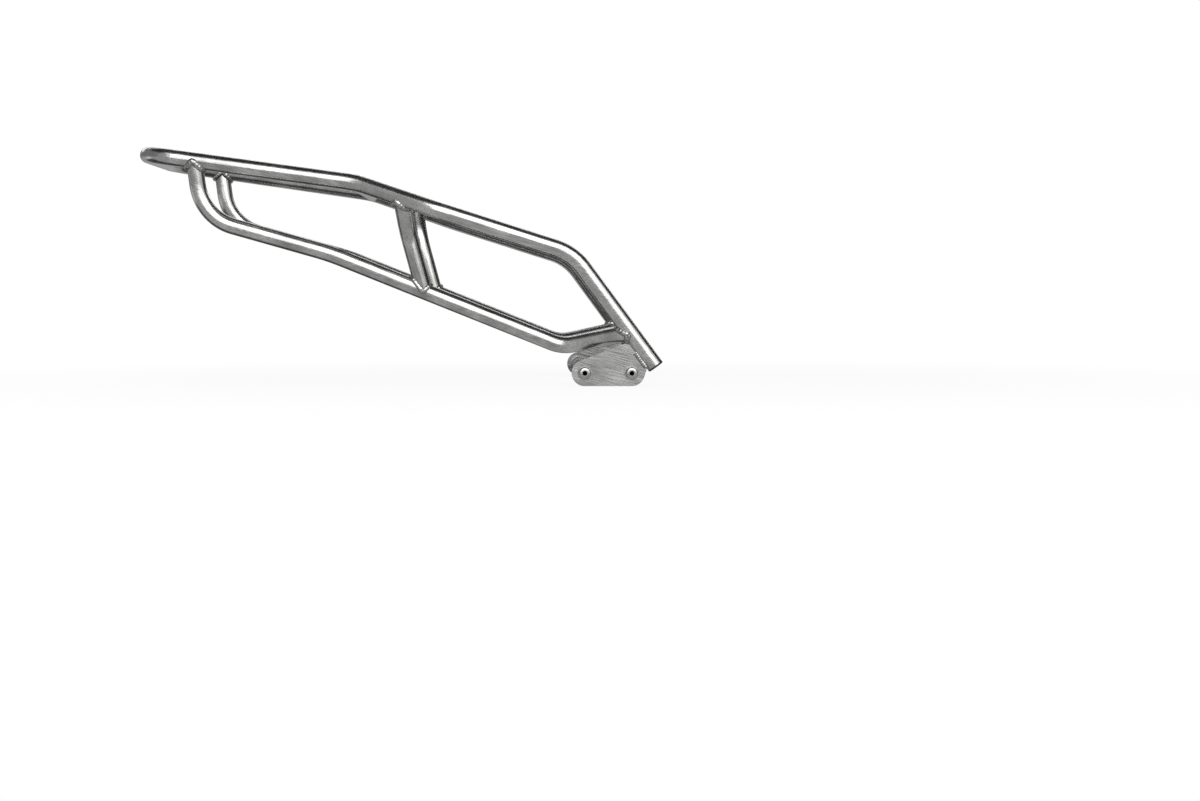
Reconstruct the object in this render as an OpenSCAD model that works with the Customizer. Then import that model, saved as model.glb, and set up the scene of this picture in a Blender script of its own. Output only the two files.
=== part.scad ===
// Top case rack of bent and welded stainless steel tube.
// +X points to the front of the vehicle, +Y to its left, +Z up.
// The origin lies midway between the two front foot screws.

/* [Tube] */
// Outside diameter of every tube
tube_d = 18; // [16:0.5:20]
// Wall thickness of every tube
tube_wall = 1.5; // [1:0.1:2.5]
// Extra radius of each bend over its straights
bend_step = 0.02; // [0.01:0.01:0.05]
// Gap left at each coped end for the weld
weld_gap = 0.1; // [0.06:0.01:0.2]

/* [Hoop] */
// Distance of the rear bar behind the front foot screws
rear_back = 532; // [505:1:560]
// Height of the rear bar over the foot screws
rear_height = 238.2; // [228:0.1:250]
// Half of the width between the side tubes, taken at the rear bar
rear_half = 114.2; // [108:0.1:122]
// Bend radius of the two rear corners
rear_bend_r = 36; // [30:1:45]
// Distance of the knee behind the front foot screws
knee_back = 297; // [285:1:310]
// Height of the knee over the foot screws
knee_height = 205; // [195:0.5:215]
// Half of the width at the knee
knee_half = 144; // [136:0.5:152]
// Distance of the hip, where the tubes stop spreading
hip_back = 207.6; // [200:0.1:216]
// Height of the hip over the foot screws
hip_height = 173.7; // [168:0.1:180]
// Half of the width of the front run and of the legs
rail_half = 190; // [180:1:200]
// Distance of the crest, where each leg turns down
crest_back = 62.8; // [56:0.1:70]
// Height of the crest over the foot screws
crest_height = 127.5; // [120:0.5:135]
// Bend radius of the knees, hips and crests
side_bend_r = 60; // [45:1:70]
// Angle of each leg below the horizontal
leg_angle = 53.7; // [50:0.1:57]
// Height at which each leg ends over the foot screws
leg_end_height = 8; // [4:0.5:14]

/* [Cross tube] */
// Distance of the front cross tube behind the knees
cross_behind_knee = 0; // [0:0.5:40]

/* [Lower stays] */
// Where each stay meets the hoop, behind the front foot screws
stay_top_back = 476; // [472:0.5:480]
// Distance of the stay's rear corner
stay_rear_back = 467.5; // [462:0.5:470]
// Height of the stay's rear corner
stay_rear_height = 168; // [162:0.5:174]
// Half of the width at the stay's rear corner
stay_rear_half = 119; // [115:0.5:123]
// Bend radius of the stay's rear corner
stay_rear_bend_r = 54; // [42:1:60]
// Distance of the stay's slight middle bend
stay_mid_back = 326; // [315:1:335]
// Height of the stay's middle bend
stay_mid_height = 128.3; // [124:0.1:133]
// Half of the width at the stay's middle bend
stay_mid_half = 141; // [136:0.5:146]
// Bend radius of the stay's middle bend
stay_mid_bend_r = 180; // [120:5:240]
// Distance of the stay's front bend
stay_front_back = 73.8; // [66:0.1:82]
// Height of the stay's front bend
stay_front_height = 27.8; // [24:0.1:31]
// Half of the width at the stay's front bend
stay_front_half = 156; // [151:0.5:161]
// Bend radius of the stay's front bend
stay_front_bend_r = 36; // [28:1:42]
// Height at which each stay meets its leg
stay_end_height = 43; // [40:0.5:47]

/* [Uprights] */
// Where each upright meets the hoop, behind the front foot screws
upright_top_back = 247; // [240:0.5:254]
// Distance of the upright's bend
upright_bend_back = 241; // [236:0.5:246]
// Height of the upright's bend
upright_bend_height = 151.5; // [146:0.5:157]
// Half of the width at the upright's bend
upright_bend_half = 150; // [146:0.5:154]
// Bend radius of each upright
upright_bend_r = 60; // [40:1:70]
// Where each upright meets its stay, behind the front foot screws
upright_base_back = 223.4; // [216:0.1:230]

/* [Feet] */
// Thickness of each foot plate
plate_t = 5; // [4:0.5:6]
// Distance between the two screws of a foot
foot_pitch = 50; // [44:1:56]
// Radius of the plate's edge round each screw
foot_lobe_r = 14; // [12:0.5:16]
// Height of the plate's upper corner at the leg
plate_top_height = 30; // [26:0.5:31]
// Radius of the plate's two small corners
plate_corner_r = 3; // [2:0.5:4]
// Length of the spacer behind each foot plate
spacer_len = 22; // [14:1:30]
// Outside diameter of the spacer
spacer_d = 18; // [16:0.5:20]
// Chamfer of the spacer's two outer rims
spacer_chamfer = 0.8; // [0.4:0.1:1.2]

/* [Fasteners] */
// Diameter of the foot screws
screw_d = 8; // [6:1:8]
// Pitch of the thread on the screw's free end
thread_pitch = 1.25; // [1:0.05:1.5]
// Clearance of a screw in its holes, on the diameter
hole_clearance = 0.6; // [0.3:0.1:1]
// Length of screw that stands out of the spacer
screw_free_len = 16; // [12:1:22]
// Diameter of the screw's round head
head_d = 14; // [13:0.5:15]
// Height of the screw's round head
head_h = 4.4; // [4:0.1:6]
// Width across flats of the hexagon socket
socket_af = 5; // [4:0.5:6]
// Depth of the hexagon socket
socket_depth = 2.6; // [2:0.1:3]
// Outside diameter of the washer
washer_d = 16; // [15:0.5:18]
// Thickness of the washer
washer_t = 1.6; // [1:0.1:2]

/* [End caps] */
// Thickness of the cap's rim, outside the tube
cap_rim_t = 2; // [1.5:0.1:3]
// Length of the cap's plug, inside the tube
cap_plug_len = 10; // [6:1:14]
// Clearance of the plug in the tube, on the radius
cap_fit = 0.1; // [0.05:0.01:0.3]
// Radius of the rounded edge of the rim
cap_round = 1; // [0.5:0.1:1.4]

/* [Hidden] */
$fn = 48;

steel = "silver";
bright_steel = "gainsboro";
cap_black = "dimgray";

tube_r = tube_d / 2;
bore_r = tube_r - tube_wall;
cope_r = tube_r + weld_gap;
hole_d = screw_d + hole_clearance;
// Pitch diameter of a metric thread, as a multiple of the pitch below its outside diameter
flank_share = 0.6495;
thread_r = (screw_d - flank_share * thread_pitch) / 2;
// Extra angle at both ends of a bend before it is trimmed square
overshoot = 5;
// Share of the head's height that is its straight rim
head_rim_share = 0.2;
// Width of the flat ring between the socket and the crown
head_flat = 1;

// Unit vector along v
function unit(v) = v / norm(v);
// Point at x on the line from p to q
function at_x(p, q, x) = p + (q - p) * ((x - p[0]) / (q[0] - p[0]));
// Point at height z on the line from p to q
function at_z(p, q, z) = p + (q - p) * ((z - p[2]) / (q[2] - p[2]));

// Corner points of the hoop's left half, from the middle of the rear bar to the end of the leg
rear_mid = [-rear_back, 0, rear_height];
rear_corner = [-rear_back, rear_half, rear_height];
knee = [-knee_back, knee_half, knee_height];
hip = [-hip_back, rail_half, hip_height];
crest = [-crest_back, rail_half, crest_height];
leg_drop = crest_height - leg_end_height;
leg_end = crest + [leg_drop / tan(leg_angle), 0, -leg_drop];
hoop_points = [rear_mid, rear_corner, knee, hip, crest, leg_end];
hoop_bends = [rear_bend_r, side_bend_r, side_bend_r, side_bend_r];

// Corner points of the left stay, from the hoop down and forward to the leg
stay_top = at_x(rear_corner, knee, -stay_top_back);
stay_rear = [-stay_rear_back, stay_rear_half, stay_rear_height];
stay_mid = [-stay_mid_back, stay_mid_half, stay_mid_height];
stay_front = [-stay_front_back, stay_front_half, stay_front_height];
stay_end = at_z(crest, leg_end, stay_end_height);
stay_points = [stay_top, stay_rear, stay_mid, stay_front, stay_end];
stay_bends = [stay_rear_bend_r, stay_mid_bend_r, stay_front_bend_r];

// Corner points of the left upright, from the hoop down to the stay
upright_top = at_x(knee, hip, -upright_top_back);
upright_bend = [-upright_bend_back, upright_bend_half, upright_bend_height];
upright_base = at_x(stay_mid, stay_front, -upright_base_back);
upright_points = [upright_top, upright_bend, upright_base];

// The front cross tube lies on the side tubes' line, at the knees or behind them
cross_end = at_x(rear_corner, knee, -knee_back - cross_behind_knee);

// Planes of the feet, measured outwards from the middle
plate_in = rail_half - plate_t / 2;
plate_out = rail_half + plate_t / 2;
spacer_in = plate_in - spacer_len;
screw_tip = spacer_in - screw_free_len;

// Direction of leg number i of a list of corner points
function dir(p, i) = unit(p[i + 1] - p[i]);
// Angle that the tube turns through at corner i
function turn(p, i) = acos(dir(p, i - 1) * dir(p, i));
// Length that the bend at corner i takes off each straight
function trim(p, b, i) = (i < 1 || i > len(b)) ? 0 : b[i - 1] * tan(turn(p, i) / 2);
// Length of the straight between corner i and the next
function feed(p, b, i) = norm(p[i + 1] - p[i]) - trim(p, b, i) - trim(p, b, i + 1);
// Side towards which the tube turns at corner i, square to the straight before it
function side(p, i) = unit(dir(p, i) - dir(p, i - 1) * (dir(p, i - 1) * dir(p, i)));
// The same side, carried round the bend
function carried(p, i) = side(p, i) * cos(turn(p, i)) - dir(p, i - 1) * sin(turn(p, i));
// Angle from side a to side b, seen along the straight d
function roll(a, b, d) = atan2(cross(a, b) * d, a * b);

// Moves the children to the end of a bend that starts at the origin along +Z and turns to +X
module after_bend(r, a) {
    translate([r, 0, 0])
        rotate([0, a, 0])
            translate([-r, 0, 0])
                children();
}

// One bend of a rod, trimmed square at both ends
module bend(r, a, rod_r) {
    box = 4 * rod_r;
    difference() {
        translate([r, 0, 0])
            rotate([90, 0, 0])
                rotate_extrude(angle = a + 2 * overshoot, start = 180 - a - overshoot, $fn = 96)
                    translate([r, 0])
                        circle(r = rod_r, $fn = $fn / 2);
        translate([-box / 2, -box / 2, -box])
            cube(box);
        after_bend(r, a)
            translate([-box / 2, -box / 2, 0])
                cube(box);
    }
}

// Straights and bends one after the other, as a tube bender makes them
module run(p, b, i, rod_r) {
    length = feed(p, b, i);
    cylinder(r = rod_r, h = length);
    if (i < len(p) - 2) {
        a = turn(p, i + 1);
        roll_angle = i == 0 ? 0 : roll(carried(p, i), side(p, i + 1), dir(p, i));
        translate([0, 0, length])
            rotate([0, 0, roll_angle]) {
                bend(b[i], a, rod_r + bend_step);
                after_bend(b[i], a)
                    run(p, b, i + 1, rod_r);
            }
    }
}

// Bent rod of radius rod_r through corner points p with bend radii b
module bent_rod(p, b, rod_r) {
    z = dir(p, 0);
    x = side(p, 1);
    y = cross(z, x);
    multmatrix([
        [x[0], y[0], z[0], p[0][0]],
        [x[1], y[1], z[1], p[0][1]],
        [x[2], y[2], z[2], p[0][2]],
        [0, 0, 0, 1]
    ])
        run(p, b, 0, rod_r);
}

// Bent tube through corner points p with bend radii b
module bent_tube(p, b) {
    difference() {
        bent_rod(p, b, tube_r);
        bent_rod(p, b, bore_r);
    }
}

// The hoop's left half as a full rod, to cut copes with
module hoop_half_rod() {
    bent_rod(hoop_points, hoop_bends, cope_r);
}

// Draws its children on the left, or mirrored on the right
module on_side(left) {
    if (left)
        children();
    else
        mirror([0, 1, 0])
            children();
}

// Loop of tube with both legs, bent from one piece
module main_hoop() {
    color(steel)
        for (left = [true, false])
            on_side(left)
                bent_tube(hoop_points, hoop_bends);
}

// Straight tube between the hoop's sides at the knees
module front_cross_tube() {
    half = cross_end[1];
    color(steel)
        difference() {
            translate([cross_end[0], half, cross_end[2]])
                rotate([90, 0, 0])
                    difference() {
                        cylinder(r = tube_r, h = 2 * half);
                        cylinder(r = bore_r, h = 2 * half);
                    }
            hoop_half_rod();
            mirror([0, 1, 0])
                hoop_half_rod();
        }
}

// Bent tube below the hoop's side, welded to the hoop behind and to the leg in front
module lower_stay() {
    color(steel)
        difference() {
            bent_tube(stay_points, stay_bends);
            hoop_half_rod();
        }
}

// Short bent tube between the hoop and the stay
module upright() {
    color(steel)
        difference() {
            bent_tube(upright_points, [upright_bend_r]);
            hoop_half_rod();
            bent_rod(stay_points, stay_bends, cope_r);
        }
}

// Tangent points of the belt round circles a and b, each [x, y, r], on its right side
function tangent(a, b) =
    let (d = [b[0] - a[0], b[1] - a[1]])
    let (n = norm(d))
    let (t = atan2(d[1], d[0]) - acos((a[2] - b[2]) / n))
    [for (c = [a, b]) [c[0] + c[2] * cos(t), c[1] + c[2] * sin(t)]];

// Flat outline drawn as a belt round circles, given anticlockwise
module belt(circles) {
    n = len(circles);
    polygon([for (i = [0 : n - 1]) each tangent(circles[i], circles[(i + 1) % n])]);
    for (c = circles)
        translate([c[0], c[1]])
            circle(r = c[2]);
}

// Flat plate with two screw holes, welded to the back of the leg and under the stay
module foot_plate() {
    weld_top = at_z(crest, leg_end, plate_top_height);
    weld_low = at_z(crest, leg_end, leg_end_height);
    cope_back = tube_r / sin(leg_angle);
    outline = [
        [-foot_pitch, 0, foot_lobe_r],
        [0, 0, foot_lobe_r],
        [weld_low[0] - cope_back, weld_low[2] - plate_corner_r / 2, plate_corner_r],
        [weld_top[0] - cope_back, weld_top[2], plate_corner_r]
    ];
    color(steel)
        difference() {
            translate([0, plate_out, 0])
                rotate([90, 0, 0])
                    linear_extrude(height = plate_t)
                        difference() {
                            belt(outline);
                            for (x = [0, -foot_pitch])
                                translate([x, 0])
                                    circle(d = hole_d);
                        }
            hoop_half_rod();
            bent_rod(stay_points, stay_bends, cope_r);
        }
}

// Moves its children to the end of the leg, with +Z out of the tube
module at_leg_end() {
    translate(leg_end)
        rotate([0, 90 + leg_angle, 0])
            children();
}

// Cap with a plug that closes the end of a leg
module leg_cap() {
    color(cap_black)
        at_leg_end()
            rotate_extrude()
                union() {
                    translate([0, -cap_plug_len])
                        square([bore_r - cap_fit, cap_plug_len + cap_rim_t]);
                    square([tube_r, cap_rim_t - cap_round]);
                    square([tube_r - cap_round, cap_rim_t]);
                    translate([tube_r - cap_round, cap_rim_t - cap_round])
                        circle(r = cap_round);
                }
}

// Turns its children so that +Z points outwards along the screw at distance x
module screw_axis(x, out) {
    translate([x, out, 0])
        rotate([-90, 0, 0])
            children();
}

// Bush between the foot plate and the vehicle's frame
module spacer(x) {
    color(bright_steel)
        screw_axis(x, spacer_in)
            rotate_extrude()
                polygon([
                    [hole_d / 2, 0],
                    [spacer_d / 2 - spacer_chamfer, 0],
                    [spacer_d / 2, spacer_chamfer],
                    [spacer_d / 2, spacer_len - spacer_chamfer],
                    [spacer_d / 2 - spacer_chamfer, spacer_len],
                    [hole_d / 2, spacer_len]
                ]);
}

// Flat washer under the head of a foot screw
module washer(x) {
    color(bright_steel)
        screw_axis(x, plate_out)
            linear_extrude(height = washer_t)
                difference() {
                    circle(d = washer_d);
                    circle(d = hole_d);
                }
}

// Round-headed screw with a hexagon socket, threaded where it stands out of the spacer
module foot_screw(x) {
    shank = plate_out + washer_t - screw_tip;
    tip = screw_d / 8;
    color(bright_steel)
        screw_axis(x, plate_out + washer_t)
            difference() {
                rotate_extrude()
                    polygon([
                        [0, -shank],
                        [thread_r - tip, -shank],
                        [thread_r, tip - shank],
                        [thread_r, screw_free_len - shank],
                        [screw_d / 2, screw_free_len - shank],
                        [screw_d / 2, 0],
                        [head_d / 2, 0],
                        each head_curve(),
                        [0, head_h]
                    ]);
                translate([0, 0, head_h - socket_depth])
                    cylinder(d = socket_af / cos(30), h = head_h, $fn = 6);
            }
}

// Points of the head's crown, from its rim up to its flat top
function head_curve(steps = 6) =
    let (rim_h = head_h * head_rim_share)
    let (flat_r = socket_af / 2 + head_flat)
    [for (i = [0 : steps])
        let (a = 90 * i / steps)
        [flat_r + (head_d / 2 - flat_r) * cos(a), rim_h + (head_h - rim_h) * sin(a)]];

main_hoop();
front_cross_tube();
on_side(true) lower_stay();  // left_lower_stay
on_side(false) lower_stay();  // right_lower_stay
on_side(true) upright();  // left_upright
on_side(false) upright();  // right_upright
on_side(true) foot_plate();  // left_foot_plate
on_side(false) foot_plate();  // right_foot_plate
on_side(true) leg_cap();  // left_leg_cap
on_side(false) leg_cap();  // right_leg_cap
on_side(true) spacer(0);  // left_front_spacer
on_side(true) spacer(-foot_pitch);  // left_rear_spacer
on_side(false) spacer(0);  // right_front_spacer
on_side(false) spacer(-foot_pitch);  // right_rear_spacer
on_side(true) washer(0);  // left_front_washer
on_side(true) washer(-foot_pitch);  // left_rear_washer
on_side(false) washer(0);  // right_front_washer
on_side(false) washer(-foot_pitch);  // right_rear_washer
on_side(true) foot_screw(0);  // left_front_screw
on_side(true) foot_screw(-foot_pitch);  // left_rear_screw
on_side(false) foot_screw(0);  // right_front_screw
on_side(false) foot_screw(-foot_pitch);  // right_rear_screw
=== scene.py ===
"""Top case rack of bent and welded stainless steel tube: finishes, weld beads, foot screws and studio."""
import math

import bmesh
import bpy
from bpy.props import FloatProperty, FloatVectorProperty, IntProperty, PointerProperty
from mathutils import Matrix, Vector, noise
from mathutils.bvhtree import BVHTree


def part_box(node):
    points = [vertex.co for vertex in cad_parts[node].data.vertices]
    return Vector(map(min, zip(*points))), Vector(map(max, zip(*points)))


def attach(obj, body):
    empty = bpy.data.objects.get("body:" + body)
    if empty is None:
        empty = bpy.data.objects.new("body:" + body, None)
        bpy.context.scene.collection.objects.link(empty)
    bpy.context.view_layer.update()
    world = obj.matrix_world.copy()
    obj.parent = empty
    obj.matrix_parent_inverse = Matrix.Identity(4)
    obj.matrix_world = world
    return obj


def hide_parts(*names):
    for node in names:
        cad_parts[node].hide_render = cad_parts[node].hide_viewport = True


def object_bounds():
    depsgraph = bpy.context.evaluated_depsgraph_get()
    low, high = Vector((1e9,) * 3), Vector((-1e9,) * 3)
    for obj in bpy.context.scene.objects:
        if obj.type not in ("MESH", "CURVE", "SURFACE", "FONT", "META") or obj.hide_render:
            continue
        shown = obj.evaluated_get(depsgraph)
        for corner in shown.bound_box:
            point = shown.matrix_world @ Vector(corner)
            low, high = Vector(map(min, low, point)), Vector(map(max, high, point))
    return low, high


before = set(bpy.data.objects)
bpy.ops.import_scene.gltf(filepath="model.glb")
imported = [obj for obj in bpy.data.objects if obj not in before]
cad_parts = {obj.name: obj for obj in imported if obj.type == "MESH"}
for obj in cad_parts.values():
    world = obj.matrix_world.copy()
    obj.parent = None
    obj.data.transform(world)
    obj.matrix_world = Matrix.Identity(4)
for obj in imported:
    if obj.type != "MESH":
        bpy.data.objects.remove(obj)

bl_info = {
    "name": "Top Case Rack",
    "version": (1, 0, 0),
    "blender": (4, 5, 0),
    "location": "View3D > Sidebar > Rack",
    "description": "Finishes, welds, screws and studio of a bent tube rack",
    "category": "Object",
}

MM = 0.001
CAD_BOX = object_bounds()
FLOOR_Z = CAD_BOX[0].z - 0.5 * MM
RACK_MIDDLE = Vector((-0.25, 0.0, 0.1))
PICTURE_WIDTH = 1200
SIDES = ((1, "left"), (-1, "right"))

# Corner points of the left half in millimetres, as the tube bender reads them
REAR_CORNER = Vector((-532.0, 114.2, 238.2))
KNEE = Vector((-297.0, 144.0, 205.0))
HIP = Vector((-207.6, 190.0, 173.7))
CREST = Vector((-62.8, 190.0, 127.5))
STAY_REAR = Vector((-467.5, 119.0, 168.0))
STAY_MID = Vector((-326.0, 141.0, 128.3))
STAY_FRONT = Vector((-73.8, 156.0, 27.8))
UPRIGHT_BEND = Vector((-241.0, 150.0, 151.5))
LEG_ANGLE = math.radians(53.7)
LEG_DIRECTION = Vector((math.cos(LEG_ANGLE), 0.0, -math.sin(LEG_ANGLE)))


def along_x(start, end, x):
    """Point at x on the line from start to end."""
    return start.lerp(end, (x - start.x) / (end.x - start.x))


def on_leg(height):
    """Point of the left leg's axis at a height over the foot screws."""
    return CREST + LEG_DIRECTION * ((CREST.z - height) / -LEG_DIRECTION.z)


# Each coped joint: its name, the tube's end on the other tube's axis, a point along the tube, the other
# node and the share of the full bead laid there. The cross tube's is slight, because its crown lies level
# with the knee's
COPED_JOINTS = (
    ("stay_rear_weld", along_x(REAR_CORNER, KNEE, -476.0), STAY_REAR, "main_hoop", 1.0),
    ("stay_front_weld", on_leg(43.0), STAY_FRONT, "main_hoop", 1.0),
    ("upright_top_weld", along_x(KNEE, HIP, -247.0), UPRIGHT_BEND, "main_hoop", 1.0),
    ("upright_base_weld", along_x(STAY_MID, STAY_FRONT, -223.4), UPRIGHT_BEND, "lower_stay", 0.85),
    ("cross_tube_weld", KNEE, Vector((KNEE.x, 0.0, KNEE.z)), "main_hoop", 0.35),
)

# Cards seen only in reflections: name, size, middle, axis that one turned upright is turned about, level
CARDS = (
    # Overhead, from about 65 degrees up in front to about 50 behind: the dark band on every crown
    ("overhead_card", (7.0, 2.9), (-0.25, 0.25, 2.4), None, "black"),
    ("back_high_card", (7.0, 0.9), (-0.25, 2.2, 1.9), "X", "black"),
    # A dark strip straight below between grey floors: the grey flank with its dark lower edge
    ("under_card", (1.6, 0.37), (-0.25, 0.065, FLOOR_Z + MM), None, "dark"),
    ("front_floor_card", (7.0, 3.68), (-0.25, -1.96, FLOOR_Z + MM), None, "grey"),
    ("back_floor_card", (7.0, 1.95), (-0.25, 1.225, FLOOR_Z + MM), None, "grey"),
    # In front a dim line along the horizon, with the highlight's lower half above it
    ("front_horizon_card", (7.0, 0.35), (-0.25, -3.8, 0.125), "X", "dim"),
    ("front_low_card", (5.2, 0.9), (-0.2, -3.8, 0.75), "X", "bright"),
    # Both ends and behind: the edges of the tubes that stand up. The left one also greys the short run
    # between knee and hip, which is turned towards it
    ("right_card", (2.6, 3.2), (2.2, 1.0, 1.25), "Y", "black"),
    ("left_card", (3.7, 2.5), (-2.7, -2.55, 1.8), "Y", "grey"),
    ("left_back_card", (2.6, 3.5), (-2.7, 0.45, 1.25), "Y", "dim"),
    ("back_low_card", (5.9, 1.0), (0.25, 2.2, 0.45), "X", "dim"),
)


def linear(code):
    """Linear colour of an sRGB hex value."""
    parts = [int(code[i:i + 2], 16) / 255 for i in (1, 3, 5)]
    return [p / 12.92 if p <= 0.04045 else ((p + 0.055) / 1.055) ** 2.4 for p in parts] + [1.0]


def length(name, millimetres, description):
    """Property that holds a length in metres, with its default given in millimetres."""
    return FloatProperty(
        name=name, description=description, default=millimetres * MM, unit="LENGTH")


def share(name, default, description):
    """Property that holds a plain factor."""
    return FloatProperty(name=name, description=description, default=default, min=0.0)


def colour(name, code, description):
    """Property that holds a colour, with its default given as an sRGB hex value."""
    return FloatVectorProperty(
        name=name, description=description, default=linear(code), size=4, subtype="COLOR")


class RackSizes(bpy.types.PropertyGroup):
    """Sizes of the tubes and their weld beads."""

    tube_radius: length("Tube radius", 9, "Outside radius of the tubes")
    plate_thickness: length("Plate thickness", 5, "Thickness of the foot plates")
    bead_radius: length("Bead radius", 3.6, "Radius of a weld bead laid in full")
    bead_sink: length("Bead sink", 0.4, "How far a bead's middle lies inside the wall of its tube")
    plate_bead_share: share("Plate bead share", 0.8, "Share of the full bead laid along the foot plates")
    plate_bead_low: length("Plate bead low", 11, "Height of the foot plate's bead at its lower end")
    plate_bead_high: length("Plate bead high", 27, "Height of the foot plate's bead at its upper end")
    ripple_pitch: length("Ripple pitch", 2.6, "Distance between two ripples of a bead")
    ripple_height: share("Ripple height", 0.09, "Swelling of a ripple, as a share of the bead")
    ripple_steps: IntProperty(
        name="Ripple steps", description="Points along each ripple", default=5, min=3)


class ScrewSizes(bpy.types.PropertyGroup):
    """Sizes of the foot screws, beyond their length and head width, which come from the frame."""

    shank_radius: length("Shank radius", 4, "Outside radius of the thread and the shank")
    head_height: length("Head height", 4.4, "Height of the button head")
    head_flat: length("Head flat", 3.5, "Radius of the flat on top of the head")
    socket_width: length("Socket width", 5, "Distance across the flats of the hexagon socket")
    socket_depth: length("Socket depth", 2.6, "Depth of the hexagon socket")
    thread_pitch: length("Thread pitch", 1.25, "Pitch of the thread")
    thread_depth: length("Thread depth", 0.62, "Depth of the thread's grooves")
    thread_length: length("Thread length", 24, "Length of the thread from the tip")


class RackColours(bpy.types.PropertyGroup):
    """Colours of the finishes."""

    tube_dark: colour("Tube dark", "#989897", "Darker tone of the electropolished tubes and plates")
    tube_pale: colour("Tube pale", "#D6D6D5", "Paler tone of the electropolished tubes and plates")
    weld_dark: colour("Weld dark", "#7C7C7B", "Darker tone of the weld beads")
    weld_pale: colour("Weld pale", "#C6C6C5", "Paler tone of the weld beads")
    screw_dark: colour("Screw dark", "#9C9C9B", "Darker tone of the screws, washers and spacers")
    screw_pale: colour("Screw pale", "#C4C4C3", "Paler tone of the screws, washers and spacers")
    cap: colour("Cap", "#1B1B1B", "Colour of the leg caps")
    floor: colour("Floor", "#F4F4F4", "Colour of the floor under the rack")


class StudioLevels(bpy.types.PropertyGroup):
    """Brightness of the studio's cards and lamps, where 1 is white."""

    black: share("Black", 0.04, "Brightness of the black cards")
    dark: share("Dark", 0.08, "Brightness of the dark card")
    dim: share("Dim", 0.28, "Brightness of the dim cards")
    grey: share("Grey", 0.50, "Brightness of the grey cards")
    bright: share("Bright", 2.2, "Brightness of the bright card")
    front_lamp: share("Front lamp", 2.4, "Brightness of the front lamp's face")
    back_lamp: share("Back lamp", 1.2, "Brightness of the back lamp's face")
    fill: share("Fill", 0.36, "Brightness of the even light all round")
    floor_near: share("Floor near", 0.90, "How white the floor looks beside the rack, before its shadow")


def add(tree, kind, sockets=None, **settings):
    """Adds a node. A socket takes a value, or a (node, output) pair that is linked to it."""
    made = tree.nodes.new(kind)
    for key, value in settings.items():
        setattr(made, key, value)
    for key, value in (sockets or {}).items():
        if isinstance(value, tuple) and isinstance(value[0], bpy.types.Node):
            tree.links.new(value[0].outputs[value[1]], made.inputs[key])
        else:
            made.inputs[key].default_value = value
    return made


def blank_material(name):
    """New material with an empty node tree."""
    material = bpy.data.materials.new(name)
    material.use_nodes = True
    material.node_tree.nodes.clear()
    return material


def per_mm(size):
    """Scale of a pattern whose features measure size millimetres."""
    return 1 / (size * MM)


def metal(name, dark, pale, patch_mm, grain_mm, depth_mm, rough, run=(0.0, 0.0, 0.0), stretch=1.0):
    """Bare metal with a soft change of tone over patch_mm and a grain of grain_mm, drawn out along run.

    The grain is depth_mm deep, and it takes the roughness from the first value of rough to the second."""
    material = blank_material(name)
    tree = material.node_tree
    place = add(tree, "ShaderNodeTexCoord")
    drawn = add(tree, "ShaderNodeMapping", {
        "Vector": (place, "Object"), "Rotation": run, "Scale": (stretch, 1.0, 1.0)}, vector_type="TEXTURE")
    patch = add(tree, "ShaderNodeTexNoise", {
        "Vector": (place, "Object"), "Scale": per_mm(patch_mm), "Detail": 3.0})
    grain = add(tree, "ShaderNodeTexNoise", {
        "Vector": (drawn, "Vector"), "Scale": per_mm(grain_mm), "Detail": 2.0})
    mixed = add(tree, "ShaderNodeMath", {0: (patch, "Fac"), 1: (grain, "Fac")}, operation="MULTIPLY")
    spread = add(tree, "ShaderNodeMapRange", {"Value": (mixed, 0), "From Min": 0.12, "From Max": 0.40})
    tone = add(tree, "ShaderNodeMix", {0: (spread, "Result"), 6: dark, 7: pale}, data_type="RGBA")
    roughness = add(tree, "ShaderNodeMapRange", {
        "Value": (grain, "Fac"), "From Min": 0.3, "From Max": 0.7, "To Min": rough[0], "To Max": rough[1]})
    bump = add(tree, "ShaderNodeBump", {
        "Height": (grain, "Fac"), "Strength": 0.35, "Distance": depth_mm * MM})
    shader = add(tree, "ShaderNodeBsdfPrincipled", {
        "Base Color": (tone, 2), "Roughness": (roughness, "Result"), "Normal": (bump, "Normal"),
        "Metallic": 1.0})
    add(tree, "ShaderNodeOutputMaterial", {"Surface": (shader, "BSDF")})
    return material


# Turn of each kind of tube's run away from +X
TUBE_RUNS = {
    "side": (0.0, math.radians(15), 0.0),
    "upright": (0.0, math.radians(75), 0.0),
    "cross": (0.0, 0.0, math.radians(90)),
}


def make_tube_finishes(colours):
    """Drawn stainless tube, brushed and electropolished: long soft highlights and a silky grain.

    The brush lines run along the tube. They are about 0.1 mm wide on a real one, and drawn 0.7 mm wide
    so that they show."""
    for kind, run in TUBE_RUNS.items():
        metal(
            f"electropolished_stainless_{kind}", colours.tube_dark, colours.tube_pale,
            patch_mm=30, grain_mm=0.7, depth_mm=0.012, rough=(0.15, 0.29), run=run, stretch=45)


def make_weld_finish(colours):
    """Filler metal left as welded: duller and greyer than the tube, with a fine frosting."""
    metal(
        "tig_welded_stainless", colours.weld_dark, colours.weld_pale,
        patch_mm=3, grain_mm=0.5, depth_mm=0.04, rough=(0.18, 0.34))


def make_turned_finish(colours):
    """Turned stainless fasteners: a little sharper than the tubes, with an even grain."""
    metal(
        "turned_stainless", colours.screw_dark, colours.screw_pale,
        patch_mm=9, grain_mm=0.4, depth_mm=0.01, rough=(0.2, 0.32))


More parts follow.
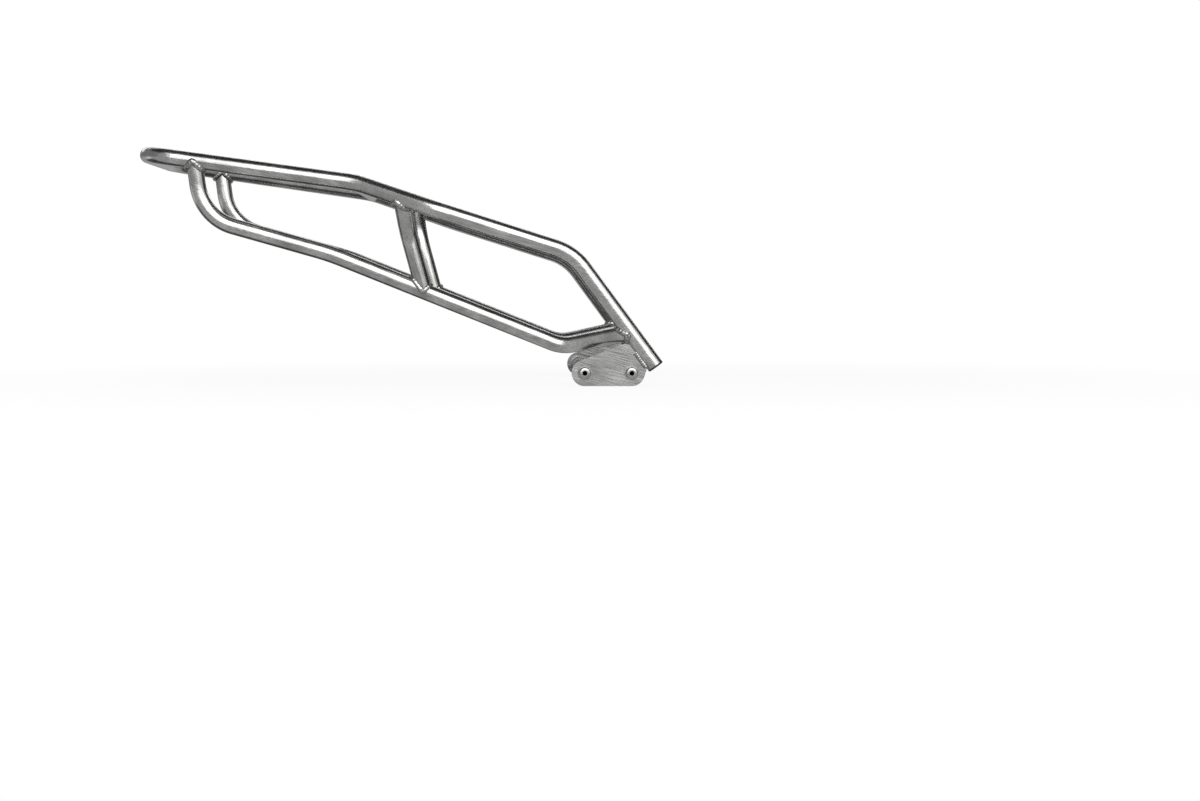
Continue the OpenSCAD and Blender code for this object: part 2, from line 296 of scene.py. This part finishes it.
def make_cap_finish(colours):
    """Injection moulded polyethylene: near black, with the soft sheen of a spark-eroded mould."""
    material = blank_material("moulded_black_polyethylene")
    tree = material.node_tree
    place = add(tree, "ShaderNodeTexCoord")
    grain = add(tree, "ShaderNodeTexNoise", {
        "Vector": (place, "Object"), "Scale": per_mm(0.4), "Detail": 3.0})
    roughness = add(tree, "ShaderNodeMapRange", {
        "Value": (grain, "Fac"), "To Min": 0.45, "To Max": 0.65})
    bump = add(tree, "ShaderNodeBump", {
        "Height": (grain, "Fac"), "Strength": 0.3, "Distance": 0.05 * MM})
    shader = add(tree, "ShaderNodeBsdfPrincipled", {
        "Base Color": colours.cap, "Roughness": (roughness, "Result"), "Normal": (bump, "Normal"),
        "IOR": 1.51})
    add(tree, "ShaderNodeOutputMaterial", {"Surface": (shader, "BSDF")})


def finish_of(node):
    """Name of the finish of a solid."""
    kind = node.rsplit("_", 1)[1]
    if kind == "cap":
        return "moulded_black_polyethylene"
    if kind in ("screw", "washer", "spacer"):
        return "turned_stainless"
    if kind == "upright":
        return "electropolished_stainless_upright"
    if node == "front_cross_tube":
        return "electropolished_stainless_cross"
    return "electropolished_stainless_side"


def add_piece(name, mesh, finish):
    """Puts a finished mesh into the scene as a piece of the rack."""
    for polygon in mesh.polygons:
        polygon.use_smooth = True
    mesh.materials.clear()
    mesh.materials.append(bpy.data.materials[finish])
    piece = bpy.data.objects.new(name, mesh)
    bpy.context.scene.collection.objects.link(piece)
    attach(piece, "root")
    return piece


def mirrored(point, side):
    """The point on the left side, or its mirror on the right."""
    return Vector((point.x, point.y * side, point.z))


def cope_ring(start, towards, target, radius, sink, steps):
    """Points in metres where the wall of a tube meets the tube it is welded to."""
    axis = (towards - start).normalized()
    across = axis.orthogonal().normalized()
    other = axis.cross(across)
    tree = BVHTree.FromObject(target, bpy.context.evaluated_depsgraph_get())
    # Each ray starts out along the tube and looks back past the joint
    far_out = 30 * MM
    look_back = 45 * MM
    # A spoke that grazes past the other tube is shortened in small steps until its ray meets it
    shorter = 0.05 * MM
    most_tries = 20
    ring = []
    for step in range(steps):
        angle = math.tau * step / steps
        spoke = across * math.cos(angle) + other * math.sin(angle)
        for tries in range(most_tries):
            wall = start * MM + spoke * (radius - tries * shorter)
            hit = tree.ray_cast(wall + axis * far_out, -axis, look_back)[0]
            if hit is not None:
                break
        if hit is None:
            raise RuntimeError(f"the weld at {tuple(start)} finds no tube")
        ring.append(hit + spoke * (tries * shorter - sink))
    return ring


def bead_mesh(name, points, closed, portion, sizes):
    """Rippled weld bead along points, of a portion of the full size."""
    # The hand's unsteadiness: how much the bead swells and over what distance
    wander_share = 0.06
    wander_length = 6 * MM
    curve = bpy.data.curves.new(name, "CURVE")
    curve.dimensions = "3D"
    curve.bevel_depth = sizes.bead_radius * portion
    curve.bevel_resolution = 3
    curve.use_fill_caps = True
    spline = curve.splines.new("POLY")
    spline.points.add(len(points) - 1)
    spline.use_cyclic_u = closed
    for number, (knot, point) in enumerate(zip(spline.points, points)):
        phase = (number % sizes.ripple_steps) / sizes.ripple_steps
        wander = noise.noise(point / wander_length) * wander_share
        knot.co = (*point, 1.0)
        knot.radius = 1 + sizes.ripple_height * (math.sin(math.pi * phase) - 0.5) + wander
    holder = bpy.data.objects.new(name, curve)
    mesh = bpy.data.meshes.new_from_object(holder)
    bpy.data.objects.remove(holder)
    bpy.data.curves.remove(curve)
    mesh.name = name
    return mesh


def whole_ripples(distance, sizes):
    """Number of points along a bead, so that its ripples come out even."""
    return max(3, round(distance / sizes.ripple_pitch)) * sizes.ripple_steps


def screw_outline(shank, head_r, sizes):
    """Half outline of a button head screw as (radius, height), with the head's seat at zero."""
    rim_share = 0.2
    crown_steps = 8
    tip_r = 0.3 * MM
    tip_h = 0.5 * MM
    run_out = 0.6 * MM
    root_r = sizes.shank_radius - sizes.thread_depth
    thread_end = sizes.thread_length - shank
    rim_h = sizes.head_height * rim_share
    crown = [
        (sizes.head_flat + (head_r - sizes.head_flat) * math.cos(turn),
         rim_h + (sizes.head_height - rim_h) * math.sin(turn))
        for turn in (math.pi / 2 * i / crown_steps for i in range(crown_steps + 1))]
    return [
        (0.0, -shank), (root_r - tip_r, -shank), (root_r, -shank + tip_h), (root_r, thread_end),
        (sizes.shank_radius, thread_end + run_out), (sizes.shank_radius, 0.0), (head_r, 0.0), *crown]


def turn_outline(bm, outline, around):
    """Turns an outline about Z."""
    knots = [bm.verts.new((r, 0.0, z)) for r, z in outline]
    edges = [bm.edges.new(pair) for pair in zip(knots, knots[1:])]
    bmesh.ops.spin(
        bm, geom=knots + edges, cent=(0, 0, 0), axis=(0, 0, 1), angle=math.tau, steps=around,
        use_merge=True)
    bmesh.ops.remove_doubles(bm, verts=bm.verts, dist=1e-7)


def sink_socket(bm, around, sizes):
    """Closes the top of the head with a hexagon socket as finely divided as the head's flat rim."""
    rim = [e for e in bm.edges if e.is_boundary and e.verts[0].co.z > 0]
    corner_r = sizes.socket_width / 2 / math.cos(math.pi / 6)
    hexagon = bmesh.ops.create_circle(bm, cap_ends=False, radius=corner_r, segments=6)["verts"]
    bmesh.ops.translate(bm, verts=hexagon, vec=(0, 0, sizes.head_height))
    sides = [e for e in bm.edges if e.is_wire]
    bmesh.ops.subdivide_edges(bm, edges=sides, cuts=around // 6 - 1)
    mouth = [e for e in bm.edges if e.is_wire]
    bmesh.ops.bridge_loops(bm, edges=rim + mouth)
    pushed = bmesh.ops.extrude_edge_only(bm, edges=mouth)["geom"]
    floor = [g for g in pushed if isinstance(g, bmesh.types.BMVert)]
    bmesh.ops.translate(bm, verts=floor, vec=(0, 0, -sizes.socket_depth))
    floor_edges = [g for g in pushed if isinstance(g, bmesh.types.BMEdge) and g.is_boundary]
    bmesh.ops.edgeloop_fill(bm, edges=floor_edges)


def wind_thread(bm, shank, sizes):
    """Winds one ridge round the thread's root, with its foot a little inside it."""
    around = 32
    plain_turns = 1.2
    half_share = 0.44
    tip_gap = 0.6 * MM
    foot_sink = 0.1 * MM
    turns = sizes.thread_length / sizes.thread_pitch - plain_turns
    steps = int(turns * around)
    half = sizes.thread_pitch * half_share
    low = -shank + tip_gap
    foot_r = sizes.shank_radius - sizes.thread_depth - foot_sink
    ridge = [bm.verts.new(point) for point in (
        (foot_r, 0, low), (sizes.shank_radius, 0, low + half), (foot_r, 0, low + 2 * half))]
    face = bm.faces.new(ridge)
    bmesh.ops.spin(
        bm, geom=[face, *face.edges, *ridge], cent=(0, 0, 0), axis=(0, 0, 1),
        dvec=(0, 0, sizes.thread_pitch / around), angle=math.tau * steps / around, steps=steps,
        use_merge=False)


def screw_mesh(name, lowest, highest, side, sizes):
    """Foot screw with its thread and socket, made along Z and then laid in its CAD box, head outwards."""
    around = 48
    shank = highest.y - lowest.y - sizes.head_height
    bm = bmesh.new()
    turn_outline(bm, screw_outline(shank, (highest.x - lowest.x) / 2, sizes), around)
    sink_socket(bm, around, sizes)
    wind_thread(bm, shank, sizes)
    bmesh.ops.recalc_face_normals(bm, faces=bm.faces)
    bmesh.ops.transform(bm, matrix=Matrix.Rotation(-math.pi / 2 * side, 4, "X"), verts=bm.verts)
    centre = (lowest + highest) / 2
    outer_end = highest.y if side > 0 else lowest.y
    seat = outer_end - side * sizes.head_height
    bmesh.ops.translate(bm, verts=bm.verts, vec=(centre.x, seat, centre.z))
    mesh = bpy.data.meshes.new(name)
    bm.to_mesh(mesh)
    bm.free()
    return mesh


def seen_or_mirrored(tree):
    """1 for rays from the camera, a reflection or a transmission, and 0 for light that falls on things."""
    ray = add(tree, "ShaderNodeLightPath")
    seen = add(tree, "ShaderNodeMath", {
        0: (ray, "Is Camera Ray"), 1: (ray, "Is Glossy Ray")}, operation="MAXIMUM")
    return add(tree, "ShaderNodeMath", {
        0: (seen, 0), 1: (ray, "Is Transmission Ray")}, operation="MAXIMUM")


def make_floor_finish(colours, levels):
    """Matt white card: it takes the rack's shadow near the rack and is plain white further out."""
    near_edge = 0.25
    far_edge = 1.1
    material = blank_material("white_card")
    tree = material.node_tree
    place = add(tree, "ShaderNodeTexCoord")
    away = add(tree, "ShaderNodeVectorMath", {0: (place, "Object")}, operation="LENGTH")
    whiter = add(tree, "ShaderNodeMapRange", {
        "Value": (away, "Value"), "From Min": near_edge, "From Max": far_edge,
        "To Min": levels.floor_near, "To Max": 1.0}, interpolation_type="SMOOTHSTEP")
    card = add(tree, "ShaderNodeBsdfDiffuse", {"Color": colours.floor})
    light = add(tree, "ShaderNodeEmission", {"Color": linear("#FFFFFF"), "Strength": 1.0})
    glow = add(tree, "ShaderNodeMath", {
        0: (seen_or_mirrored(tree), 0), 1: (whiter, "Result")}, operation="MULTIPLY")
    mix = add(tree, "ShaderNodeMixShader", {0: (glow, 0), 1: (card, 0), 2: (light, 0)})
    add(tree, "ShaderNodeOutputMaterial", {"Surface": (mix, "Shader")})
    return material


def make_reflector_finish(name, level):
    """Card of one even tone: it draws a band along polished tube."""
    material = blank_material(name)
    tree = material.node_tree
    light = add(tree, "ShaderNodeEmission", {"Color": linear("#FFFFFF"), "Strength": level})
    add(tree, "ShaderNodeOutputMaterial", {"Surface": (light, "Emission")})
    return material


def studio_card(name, size, place, axis, material):
    """Flat card of the studio. With an axis it is turned upright about it."""
    bm = bmesh.new()
    bmesh.ops.create_grid(bm, x_segments=1, y_segments=1, size=0.5)
    bmesh.ops.scale(bm, vec=(*size, 1), verts=bm.verts)
    if axis is not None:
        upright = Matrix.Rotation(math.pi / 2, 3, axis)
        bmesh.ops.rotate(bm, cent=(0, 0, 0), matrix=upright, verts=bm.verts)
    bmesh.ops.translate(bm, vec=place, verts=bm.verts)
    mesh = bpy.data.meshes.new(name)
    bm.to_mesh(mesh)
    bm.free()
    mesh.materials.append(material)
    card = bpy.data.objects.new(name, mesh)
    bpy.context.scene.collection.objects.link(card)
    return card


def softbox(name, size, place, level):
    """Area lamp whose face shines at the given level, aimed at the rack."""
    lamp = bpy.data.lights.new(name, "AREA")
    lamp.shape = "RECTANGLE"
    lamp.size, lamp.size_y = size
    lamp.energy = level * math.pi * size[0] * size[1]
    holder = bpy.data.objects.new(name, lamp)
    holder.location = place
    aim = RACK_MIDDLE - Vector(place)
    holder.rotation_euler = aim.to_track_quat("-Z", "Y").to_euler()
    holder.visible_camera = False
    bpy.context.scene.collection.objects.link(holder)


def studio_world(fill_level):
    """Even grey light, with white wherever the camera or a reflection sees past the cards."""
    world = bpy.data.worlds.new("studio")
    bpy.context.scene.world = world
    world.use_nodes = True
    tree = world.node_tree
    tree.nodes.clear()
    fill = add(tree, "ShaderNodeBackground", {"Color": linear("#FFFFFF"), "Strength": fill_level})
    white = add(tree, "ShaderNodeBackground", {"Color": linear("#FFFFFF"), "Strength": 1.0})
    mix = add(tree, "ShaderNodeMixShader", {
        0: (seen_or_mirrored(tree), 0), 1: (fill, 0), 2: (white, 0)})
    add(tree, "ShaderNodeOutputWorld", {"Surface": (mix, "Shader")})


def studio_camera(scene):
    """Level camera on the right, with the frame shifted to the rack's place in the picture."""
    shift_right_px = 64
    shift_up_px = -102.5
    lens = bpy.data.cameras.new("camera")
    lens.lens = 75
    lens.sensor_width = 36
    lens.shift_x = shift_right_px / PICTURE_WIDTH
    lens.shift_y = shift_up_px / PICTURE_WIDTH
    camera = bpy.data.objects.new("camera", lens)
    camera.location = (-0.102, -2.857, 0.080)
    camera.rotation_euler = (math.pi / 2, 0, 0)
    scene.collection.objects.link(camera)
    scene.camera = camera


class RACK_OT_finishes(bpy.types.Operator):
    """Give every solid of the rack its finish"""

    bl_idname = "rack.finishes"
    bl_label = "Finishes"

    def execute(self, context):
        colours = context.scene.rack_colours
        make_tube_finishes(colours)
        make_weld_finish(colours)
        make_turned_finish(colours)
        make_cap_finish(colours)
        for name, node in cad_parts.items():
            material = bpy.data.materials[finish_of(name)]
            if not node.material_slots:
                node.data.materials.append(material)
            for slot in node.material_slots:
                slot.material = material
        return {"FINISHED"}


class RACK_OT_coped_welds(bpy.types.Operator):
    """Lay a bead round every coped tube end"""

    bl_idname = "rack.coped_welds"
    bl_label = "Coped Welds"

    def execute(self, context):
        sizes = context.scene.rack_sizes
        # A coped edge is somewhat longer than the tube's circumference
        cope_stretch = 1.15
        steps = whole_ripples(math.tau * sizes.tube_radius * cope_stretch, sizes)
        for side, word in SIDES:
            for name, start, towards, target, portion in COPED_JOINTS:
                node = target if target == "main_hoop" else f"{word}_{target}"
                sink = sizes.bead_sink + sizes.bead_radius * (1 - portion) / 2
                ring = cope_ring(
                    mirrored(start, side), mirrored(towards, side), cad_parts[node],
                    sizes.tube_radius, sink, steps)
                piece = f"{word}_{name}"
                mesh = bead_mesh(piece, ring, True, portion, sizes)
                add_piece(piece, mesh, "tig_welded_stainless")
        return {"FINISHED"}


class RACK_OT_plate_welds(bpy.types.Operator):
    """Lay a bead along both faces of each foot plate where it meets the leg"""

    bl_idname = "rack.plate_welds"
    bl_label = "Plate Welds"

    def execute(self, context):
        sizes = context.scene.rack_sizes
        half_plate = sizes.plate_thickness / 2
        reach = math.sqrt(sizes.tube_radius ** 2 - half_plate ** 2)
        back = Vector((LEG_DIRECTION.z, 0.0, -LEG_DIRECTION.x)) * reach
        low = on_leg(sizes.plate_bead_low / MM) * MM
        high = on_leg(sizes.plate_bead_high / MM) * MM
        steps = whole_ripples((high - low).length, sizes)
        for side, word in SIDES:
            for face, place in ((1, "outer"), (-1, "inner")):
                offset = back + Vector((0.0, face * half_plate, 0.0))
                line = [
                    mirrored(low.lerp(high, i / (steps - 1)) + offset, side) for i in range(steps)]
                piece = f"{word}_{place}_plate_weld"
                mesh = bead_mesh(piece, line, False, sizes.plate_bead_share, sizes)
                add_piece(piece, mesh, "tig_welded_stainless")
        return {"FINISHED"}


class RACK_OT_foot_screws(bpy.types.Operator):
    """Cut the thread and socket of the four foot screws"""

    bl_idname = "rack.foot_screws"
    bl_label = "Foot Screws"

    def execute(self, context):
        sizes = context.scene.rack_screws
        for side, word in SIDES:
            for place in ("front", "rear"):
                node = f"{word}_{place}_screw"
                name = f"{node}_cut"
                mesh = screw_mesh(name, *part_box(node), side, sizes)
                piece = add_piece(name, mesh, "turned_stainless")
                mesh.set_sharp_from_angle(angle=math.radians(32))
                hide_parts(node)
        return {"FINISHED"}


class RACK_OT_studio(bpy.types.Operator):
    """Set up the floor, cards, lamps and camera"""

    bl_idname = "rack.studio"
    bl_label = "Studio"

    def execute(self, context):
        levels = context.scene.rack_studio
        floor = make_floor_finish(context.scene.rack_colours, levels)
        studio_card("floor", (30, 30), (0, 0, FLOOR_Z), None, floor)
        tones = {
            word: make_reflector_finish(f"{word}_reflector", getattr(levels, word))
            for word in ("black", "dark", "dim", "grey", "bright")}
        for name, size, place, axis, tone in CARDS:
            card = studio_card(name, size, place, axis, tones[tone])
            card.visible_camera = False
            card.visible_diffuse = False
            card.visible_transmission = False
            card.visible_shadow = False
        softbox("front_softbox", (3.2, 1.7), (0.15, -2.0, 1.5), levels.front_lamp)
        softbox("back_softbox", (4.0, 0.5), (-0.25, 2.0, 1.2), levels.back_lamp)
        studio_world(levels.fill)
        studio_camera(context.scene)
        context.scene.view_settings.view_transform = "Standard"
        return {"FINISHED"}


class RACK_PT_panel(bpy.types.Panel):
    """Settings of the rack and the steps that make it"""

    bl_idname = "RACK_PT_panel"
    bl_label = "Top Case Rack"
    bl_space_type = "VIEW_3D"
    bl_region_type = "UI"
    bl_category = "Rack"

    def draw(self, context):
        for holder, group in SETTINGS.items():
            column = self.layout.column(align=True)
            for setting in group.__annotations__:
                column.prop(getattr(context.scene, holder), setting)
        for step in STEPS:
            self.layout.operator(step.bl_idname)


SETTINGS = {
    "rack_sizes": RackSizes,
    "rack_screws": ScrewSizes,
    "rack_colours": RackColours,
    "rack_studio": StudioLevels,
}
STEPS = (RACK_OT_finishes, RACK_OT_coped_welds, RACK_OT_plate_welds, RACK_OT_foot_screws, RACK_OT_studio)
CLASSES = (*SETTINGS.values(), *STEPS, RACK_PT_panel)


def register():
    for item in CLASSES:
        bpy.utils.register_class(item)
    for holder, group in SETTINGS.items():
        setattr(bpy.types.Scene, holder, PointerProperty(type=group))


def unregister():
    for holder in SETTINGS:
        delattr(bpy.types.Scene, holder)
    for item in reversed(CLASSES):
        bpy.utils.unregister_class(item)


def main():
    register()
    bpy.ops.rack.finishes()
    bpy.ops.rack.coped_welds()
    bpy.ops.rack.plate_welds()
    bpy.ops.rack.foot_screws()
    bpy.ops.rack.studio()


if __name__ == "__main__":
    main()
